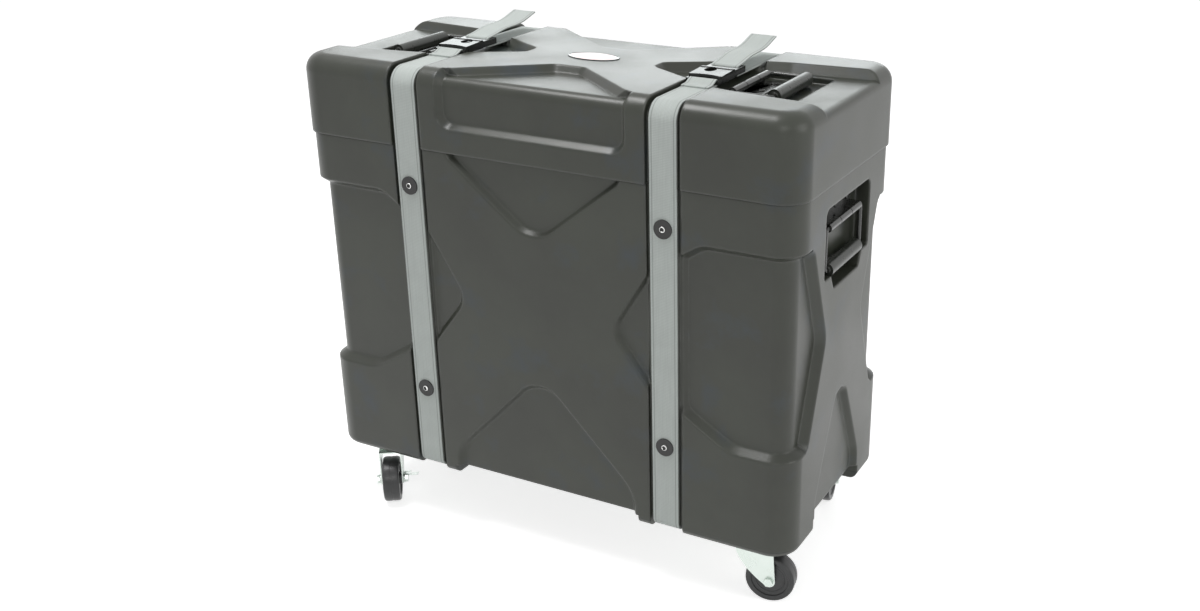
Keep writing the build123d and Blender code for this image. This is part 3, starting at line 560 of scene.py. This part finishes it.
def carried(nodeName, pieceName, body, finish, angle, edge=0.0):
    piece = nodes[nodeName].copy()
    piece.data = nodes[nodeName].data.copy()
    bpy.context.scene.collection.objects.link(piece)
    piece.parent = None
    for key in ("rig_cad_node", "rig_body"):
        del piece[key]
    piece.name = pieceName
    pick(piece)
    bpy.ops.object.mode_set(mode="EDIT")
    bpy.ops.mesh.select_all(action="SELECT")
    bpy.ops.mesh.remove_doubles(threshold=carriedLook["merge"])
    bpy.ops.object.mode_set(mode="OBJECT")
    bpy.ops.mesh.customdata_custom_splitnormals_clear()
    if edge:
        bpy.ops.object.mode_set(mode="EDIT")
        bpy.ops.mesh.select_all(action="SELECT")
        bpy.ops.mesh.dissolve_limited(angle_limit=math.radians(carriedLook["flat"]))
        bpy.ops.object.mode_set(mode="OBJECT")
        useModifier(piece, "BEVEL", width=edge, segments=2, limit_method="ANGLE",
                    angle_limit=math.radians(carriedLook["edgeFrom"]))
    settle(piece, body, finish, angle)
    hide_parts(nodeName)


carried("base_shell", "bodyShell", "base", moulded, angle=26)
carried("lid_shell", "lidShell", "lid", moulded, angle=26)
print("shells made")


# webbing, one loop on each side and its free tail

strapLook = {
    "x": weaveLook["strapX"],
    "width": 0.048,
    "thick": 0.0024,
    "face": 0.20965,  # middle of the webbing on the front and rear
    "top": 0.85865,
    "bottom": 0.11635,
    "turnTop": 0.02865,
    "turnBottom": 0.01765,
    "barY": -0.073,
    "barZ": 0.8633,
    "barTurn": 0.00465,
    "sewnTo": -0.104,
    "sewnGap": 0.0004,
    "sewnStart": 0.004,
    "sewnRun": 0.012,
    "rearEnd": 0.004,
    "columns": 8,
    "barSteps": 10,
    "topSteps": 8,
    "cornerSteps": 10,
    "riserSteps": 24,
    "footSteps": 6,
    "underSteps": 10,
    "blendLow": 0.683,
    "blendHigh": 0.829,
}


def startRibbon(name, x, y, z, width, columns, step):
    deselectAll()
    bpy.ops.mesh.primitive_grid_add(x_subdivisions=columns, y_subdivisions=1, size=1, location=(x, y, z))
    ribbon = bpy.context.object
    ribbon.name = name
    ribbon.scale = (width, abs(step), 1)
    ribbon.location.y = y + step / 2
    bpy.ops.object.transform_apply(location=True, rotation=True, scale=True)
    bpy.ops.object.mode_set(mode="EDIT")
    bpy.ops.mesh.select_mode(type="VERT")
    selectPlace(ribbon, lambda p: abs(p.y - y - step) < abs(step) / 2)
    return ribbon


def pull(dy, dz, steps=1):
    for _ in range(steps):
        bpy.ops.mesh.extrude_region_move(TRANSFORM_OT_translate={"value": (0, dy / steps, dz / steps)})


def turn(y, z, degrees, steps):  # the spin goes the other way round from the axis's own sense
    bpy.ops.mesh.spin(steps=steps, angle=-math.radians(degrees), center=(0, y, z), axis=(1, 0, 0))


ribbonLook = {"merge": 0.00002, "edge": 0.0007, "edgeFrom": 50}


def endRibbon(ribbon, thick):
    bpy.ops.mesh.select_all(action="SELECT")
    bpy.ops.mesh.remove_doubles(threshold=ribbonLook["merge"])
    bpy.ops.mesh.normals_make_consistent(inside=False)
    bpy.ops.object.mode_set(mode="OBJECT")
    useModifier(ribbon, "SOLIDIFY", thickness=thick, offset=0.0, use_even_offset=True)
    useModifier(ribbon, "BEVEL", width=ribbonLook["edge"], segments=2, limit_method="ANGLE",
                angle_limit=math.radians(ribbonLook["edgeFrom"]))


def makeStrap(word, side):
    look = strapLook
    face, top, bottom = look["face"], look["top"], look["bottom"]
    high, low = look["turnTop"], look["turnBottom"]
    sewnZ = look["barZ"] + look["barTurn"]
    gap, start, run = look["sewnGap"], look["sewnStart"], look["sewnRun"]
    strap = startRibbon(word + "Strap", side * look["x"], look["sewnTo"], top + look["thick"] + gap,
                        look["width"], look["columns"], start)
    pull(run, gap, 2)
    pull(look["barY"] - look["sewnTo"] - start - run, sewnZ - top - look["thick"] - 2 * gap, 3)
    turn(look["barY"], look["barZ"], -180, look["barSteps"])
    pull(-(face - high + look["barY"]), 0, look["topSteps"])
    turn(-(face - high), top - high, 90, look["cornerSteps"])
    pull(0, -(top - high - bottom - low), look["riserSteps"])
    turn(-(face - low), bottom + low, 90, look["footSteps"])
    pull(2 * (face - low), 0, look["underSteps"])
    turn(face - low, bottom + low, 90, look["footSteps"])
    pull(0, top - high - bottom - low, look["riserSteps"])
    turn(face - high, top - high, 90, look["cornerSteps"])
    pull(-(face - high - look["rearEnd"]), 0, look["topSteps"])
    endRibbon(strap, look["thick"])
    settle(strap, None, webbing)
    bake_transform(strap)
    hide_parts(*(word + "_strap_" + part for part in
                         ("lower", "front_riser", "rear_riser", "front_top", "rear_top")))


for word, side in sides.items():
    makeStrap(word, side)
print("straps made")


def placeCylinder(name, at, radius, length, axis, facets=48):
    turns = {"X": (0, math.pi / 2, 0), "Y": (math.pi / 2, 0, 0), "Z": (0, 0, 0)}
    deselectAll()
    bpy.ops.mesh.primitive_cylinder_add(vertices=facets, radius=radius, depth=length, location=at,
                                        rotation=turns[axis])
    piece = bpy.context.object
    piece.name = name
    bpy.ops.object.transform_apply(location=True, rotation=True, scale=True)
    return piece


def placeBlock(name, low, high):
    deselectAll()
    middle = [(a + b) / 2 for a, b in zip(low, high)]
    bpy.ops.mesh.primitive_cube_add(size=1, location=middle)
    piece = bpy.context.object
    piece.name = name
    piece.scale = [b - a for a, b in zip(low, high)]
    bpy.ops.object.transform_apply(location=True, rotation=True, scale=True)
    return piece


def boolean(piece, tool, operation="DIFFERENCE"):
    useModifier(piece, "BOOLEAN", operation=operation, object=tool, solver="EXACT")
    pick(tool)
    bpy.ops.object.delete()


def roundOff(piece, width, segments=2, limit=40):
    useModifier(piece, "BEVEL", width=width, segments=segments, limit_method="ANGLE",
                angle_limit=math.radians(limit), harden_normals=False)


# buckles: a socket with a concave mouth and side windows, the plug and its two spring arms

buckleLook = {
    "half": 0.029,
    "low": 0.8607,
    "high": 0.8747,
    "front": -0.066,
    "rear": -0.014,
    "rearIn": 0.002,
    "frontDrop": 0.0022,
    "mouthTurn": 0.075,
    "mouthDeep": 0.0045,
    "lipRadius": 0.0075,
    "lipY": -0.0215,
    "lipRise": 0.0004,
    "skin": 0.0025,
    "wall": 0.004,
    "cavityFront": -0.056,
    "windowY": -0.0335,
    "windowHalf": 0.0115,
    "windowOut": 0.0035,
    "windowFlat": 0.86,
    "cutHigh": 0.04,
    "armLow": -0.0765,
    "armIn": 0.006,
    "armHigh": 0.0072,
    "barRadius": 0.003,
    "barInset": 0.001,
    "cavityRear": -0.004,
    "mouthFacets": 96,
    "barFacets": 24,
    "edge": 0.0011,
    "plugEdge": 0.0009,
    "prongEdge": 0.0012,
    "angle": 35,
}


def makeSocket(word, side):
    look = buckleLook
    x, half = side * strapLook["x"], look["half"]
    middle = (look["low"] + look["high"]) / 2
    piece = placeBlock(word + "BuckleSocket", (x - half, look["front"], look["low"]),
                       (x + half, look["rear"] - look["rearIn"], look["high"]))
    pick(piece)
    bpy.ops.object.mode_set(mode="EDIT")
    selectPlace(piece, lambda p: p.y < look["front"] + near and p.z > middle)
    bpy.ops.transform.translate(value=(0, 0, -look["frontDrop"]))
    bpy.ops.object.mode_set(mode="OBJECT")
    lip = placeCylinder("lip", (x, look["lipY"], middle + look["lipRise"]), look["lipRadius"], 2 * half, "X")
    boolean(piece, lip, "UNION")
    mouth = placeCylinder("mouth", (x, look["front"] + look["mouthDeep"] - look["mouthTurn"], middle),
                          look["mouthTurn"], look["cutHigh"], "Z", look["mouthFacets"])
    boolean(piece, mouth)
    for way in (1, -1):
        edges = sorted((x + way * half, x + way * (half - look["wall"])))
        arm = placeBlock("arm", (edges[0], look["armLow"], look["low"]),
                         (edges[1], look["front"] + look["armIn"], look["low"] + look["armHigh"]))
        boolean(piece, arm, "UNION")
    bar = placeCylinder("bar", (x, strapLook["barY"], strapLook["barZ"]), look["barRadius"],
                        2 * (half - look["barInset"]), "X", look["barFacets"])
    boolean(piece, bar, "UNION")
    inner = half - look["wall"]
    cavity = placeBlock("cavity", (x - inner, look["cavityFront"], look["low"] + look["skin"]),
                        (x + inner, look["cavityRear"], look["high"] - look["skin"]))
    boolean(piece, cavity)
    for way in (1, -1):
        window = placeCylinder("window", (x + way * (half + look["windowOut"]), look["windowY"], middle),
                               look["windowHalf"], look["cutHigh"], "Z")
        window.scale.x = look["windowFlat"]
        boolean(piece, window)
    roundOff(piece, look["edge"])
    settle(piece, "lid", bucklePlastic)
    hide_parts(word + "_buckle_socket")


for word, side in sides.items():
    makeSocket(word, side)
    carried(word + "_buckle_plug", word + "BucklePlug", word + "_plug", bucklePlastic,
            buckleLook["angle"], buckleLook["plugEdge"])
    for part in ("outer", "inner"):
        carried(word + "_buckle_prong_" + part, word + "BuckleProng" + part.title(),
                word + "_prong_" + part, bucklePlastic, buckleLook["angle"],
                buckleLook["prongEdge"])
print("buckles made")


# free tails of the webbing, rising to the rear from the plugs

tailLook = {
    "startY": 0.006,
    "startZ": 0.8606,
    "firstStep": 0.0001,
    "overZ": 0.8739,
    "riseSteps": 3,
    "turn": 0.003,
    "turnDegrees": 84,
    "turnSteps": 6,
    "endY": 0.160,
    "endZ": 0.893,
    "endDrop": 0.0015,
    "steps": 18,
    "slopeFirst": 0.35,
    "slopeGrowth": 1.3,
    "wave": 0.0009,
    "waveAngle": 9,
}


def makeTail(word, side):
    look = tailLook
    tail = startRibbon(word + "StrapTail", side * strapLook["x"], look["startY"], look["startZ"],
                       strapLook["width"], strapLook["columns"], look["firstStep"])
    pull(0, look["overZ"] - look["startZ"] - look["turn"], look["riseSteps"])
    turn(look["startY"] + look["turn"], look["overZ"] - look["turn"], -look["turnDegrees"],
         look["turnSteps"])
    run = look["endY"] - look["startY"] - look["turn"]
    rise = look["endZ"] - look["overZ"] - look["endDrop"]
    for step in range(look["steps"]):
        share = (step + 0.5) / look["steps"]
        climb = rise / look["steps"] * (look["slopeFirst"] + look["slopeGrowth"] * share)
        pull(run / look["steps"], climb + look["wave"] * math.sin(share * look["waveAngle"]))
    endRibbon(tail, strapLook["thick"])
    settle(tail, word + "_plug", webbing)
    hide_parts(word + "_strap_tail")


for word, side in sides.items():
    makeTail(word, side)
print("strap tails made")


# handles: plates with rolled barrels, rod bails and thick grips

handleLook = {
    "gripRadius": 0.0115,
    "gripHalf": 0.066,
    "gripFacets": 64,
    "capInset": 0.0022,
    "capDeep": 0.0016,
    "hubInset": 0.0036,
    "hubStep": 0.0004,
    "hubRise": 0.0009,
    "edge": 0.0009,
    "edgeSegments": 3,
    "edgeFrom": 30,
    "plateEdge": 0.0004,
    "plateAngle": 35,
    "bailAngle": 50,
}


def makeGrip(word, place, body):
    look = handleLook
    low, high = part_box(word + "_" + place + "_handle_grip")
    middle = (low + high) / 2
    grip = placeCylinder(word + place.title() + "HandleGrip", middle, look["gripRadius"],
                         2 * look["gripHalf"], "Y", look["gripFacets"])
    bpy.ops.object.mode_set(mode="EDIT")
    for end in (1, -1):
        bpy.ops.mesh.select_mode(type="FACE")
        selectPlace(grip, lambda p: abs(p.y - end * look["gripHalf"]) < near, "faces")
        bpy.ops.mesh.inset(thickness=look["capInset"], depth=-look["capDeep"])
        bpy.ops.mesh.inset(thickness=look["hubInset"], depth=0)
        bpy.ops.mesh.inset(thickness=look["hubStep"], depth=look["hubRise"])
    bpy.ops.object.mode_set(mode="OBJECT")
    roundOff(grip, look["edge"], look["edgeSegments"], look["edgeFrom"])
    settle(grip, body, gripPlastic)
    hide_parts(word + "_" + place + "_handle_grip")


for word in sides:
    for place, body in (("lid", "lid"), ("end", "base")):
        swing = word + "_" + place + "_handle"
        name = word + place.title()
        carried(swing + "_plate", name + "HandlePlate", body, handleSteel,
                handleLook["plateAngle"], handleLook["plateEdge"])
        carried(swing + "_bail", name + "HandleBail", swing, handleSteel,
                handleLook["bailAngle"])
        makeGrip(word, place, swing)
print("handles made")


# casters

wheelLook = {  # outline from the hub out to the middle of the tread: radius and half width
    "outline": ((0.0051, 0.0178), (0.0108, 0.0178), (0.0115, 0.0172), (0.0118, 0.0132), (0.0150, 0.0122),
                (0.0240, 0.0122), (0.0246, 0.0130), (0.0262, 0.0130), (0.0268, 0.0124), (0.0318, 0.0126),
                (0.0326, 0.0144), (0.0342, 0.0152), (0.0376, 0.0155), (0.0406, 0.0150), (0.0423, 0.0132),
                (0.0430, 0.0100), (0.0430, 0.0022), (0.0426, 0.0016), (0.0426, 0.0)),
    "steps": 96,
    "merge": 0.00002,
    "angle": 30,
}


def makeWheel(corner, name):
    low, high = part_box(corner + "_caster_wheel")
    middle = (low + high) / 2
    joint = next(j for j in frame["joints"] if j["child"] == corner + "_wheel")
    axis = Vector(joint["axis"])
    points = wheelLook["outline"]
    whole = list(points) + [(r, -z) for r, z in reversed(points[:-1])]
    deselectAll()
    bpy.ops.mesh.primitive_plane_add(size=1, location=(0, 0, 0))
    wheel = bpy.context.object
    wheel.name = name + "Wheel"
    bpy.ops.object.mode_set(mode="EDIT")
    bpy.ops.mesh.select_mode(type="VERT")
    bpy.ops.mesh.select_all(action="SELECT")
    bpy.ops.mesh.merge(type="CENTER")
    bpy.ops.transform.translate(value=(whole[0][0], 0, whole[0][1]))
    for (r0, z0), (r1, z1) in zip(whole, whole[1:]):
        bpy.ops.mesh.extrude_region_move(TRANSFORM_OT_translate={"value": (r1 - r0, 0, z1 - z0)})
    bpy.ops.mesh.extrude_region_move(
        TRANSFORM_OT_translate={"value": (0, 0, whole[0][1] - whole[-1][1])})
    bpy.ops.mesh.select_all(action="SELECT")
    bpy.ops.mesh.spin(steps=wheelLook["steps"], angle=2 * math.pi, center=(0, 0, 0), axis=(0, 0, 1))
    bpy.ops.mesh.select_all(action="SELECT")
    bpy.ops.mesh.remove_doubles(threshold=wheelLook["merge"])
    bpy.ops.mesh.normals_make_consistent(inside=False)
    bpy.ops.object.mode_set(mode="OBJECT")
    wheel.rotation_mode = "QUATERNION"
    wheel.rotation_quaternion = axis.to_track_quat("Z", "Y")
    wheel.location = middle
    settle(wheel, corner + "_wheel", wheelBlack, wheelLook["angle"])
    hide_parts(corner + "_caster_wheel")


casterLook = {"angle": 35, "plateEdge": 0.0003, "forkEdge": 0.0005, "axleEdge": 0.0005,
              "pedalEdge": 0.0004}
for corner in corners:
    name = "".join(part.title() for part in corner.split("_"))
    makeWheel(corner, name)
    metal = {"plate": "base", "fork": corner + "_swivel", "axle": corner + "_swivel"}
    if corner in braked:
        metal["pedal"] = corner + "_brake"
    for part, body in metal.items():
        carried(corner + "_caster_" + part, name + "Caster" + part.title(), body, zincSteel,
                casterLook["angle"], casterLook[part + "Edge"])
print("casters made")


# small fixings and the badge

fixingLook = {"angle": 35, "edge": 0.0003}
for node, name, body, finish, slotName in (
        ("strap_rivets", "strapRivets", "base", rivetSteel, "rivet_steel"),
        ("strap_washers", "strapWashers", "base", blackWasherAndHollowShade, "washer_rubber"),
        ("end_handle_rivets", "endHandleRivets", "base", handleSteel, "rivet_steel"),
        ("lid_handle_rivets", "lidHandleRivets", "lid", handleSteel, "rivet_steel"),
        ("caster_bolts", "casterBolts", "base", zincSteel, "zinc_steel")):
    carried(node, name, body, finish, fixingLook["angle"], fixingLook["edge"])

rivetLook = {"x": strapLook["x"], "z": (0.659, 0.275), "middle": 0.0024, "deep": 0.0012, "facets": 24}
rivets = bpy.data.objects["strapRivets"]
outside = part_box("strap_rivets")[1][1]
# second finish, black: painted shade inside the pressed hollow of each rivet head
rivets.data.materials.append(blackWasherAndHollowShade)
for side in (1, -1):
    for height in rivetLook["z"]:
        for way in (1, -1):
            press = placeCylinder("press", (side * rivetLook["x"], way * outside, height),
                                  rivetLook["middle"], 2 * rivetLook["deep"], "Y", rivetLook["facets"])
            boolean(rivets, press)
# faces inside each pressed hollow take the black finish: painted shade where the hollow is deep
for face in rivets.data.polygons:
    off = min(math.hypot(abs(face.center.x) - rivetLook["x"], face.center.z - height)
              for height in rivetLook["z"])
    if off < rivetLook["middle"] + near:
        face.material_index = 1

badgeLook = {
    "long": enamelLook["long"],
    "wide": enamelLook["wide"],
    "rim": 0.0016,
    "floor": 0.8632,
    "top": 0.8652,
    "step": 0.0003,
    "sink": 0.0006,
    "crown": 0.006,
    "dome": 0.0008,
    "edge": 0.0003,
    "facets": 96,
}


def makeBadge():
    look = badgeLook
    plate = placeCylinder("lidBadge", (0, 0, (look["floor"] + look["top"]) / 2), 1.0,
                          look["top"] - look["floor"], "Z", look["facets"])
    plate.scale = (look["long"], look["wide"], 1)
    bpy.ops.object.transform_apply(location=True, rotation=True, scale=True)
    bpy.ops.object.mode_set(mode="EDIT")
    bpy.ops.mesh.select_mode(type="FACE")
    selectPlace(plate, lambda p: p.z > look["top"] - near, "faces")
    bpy.ops.mesh.inset(thickness=look["rim"], depth=0)
    bpy.ops.mesh.inset(thickness=look["step"], depth=-look["sink"])
    bpy.ops.mesh.inset(thickness=look["crown"], depth=look["dome"])
    bpy.ops.object.mode_set(mode="OBJECT")
    roundOff(plate, look["edge"])
    settle(plate, "lid", badgeEnamel)
    plate.data.materials.append(bucklePlastic)
    for face in plate.data.polygons:  # the rim and the sides stay dark
        reach = (face.center.x / look["long"]) ** 2 + (face.center.y / look["wide"]) ** 2
        if reach > (1 - look["rim"] / look["wide"]) ** 2 or face.normal.z < 0:
            face.material_index = 1
    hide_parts("lid_badge")


makeBadge()
print("fixings and badge made")
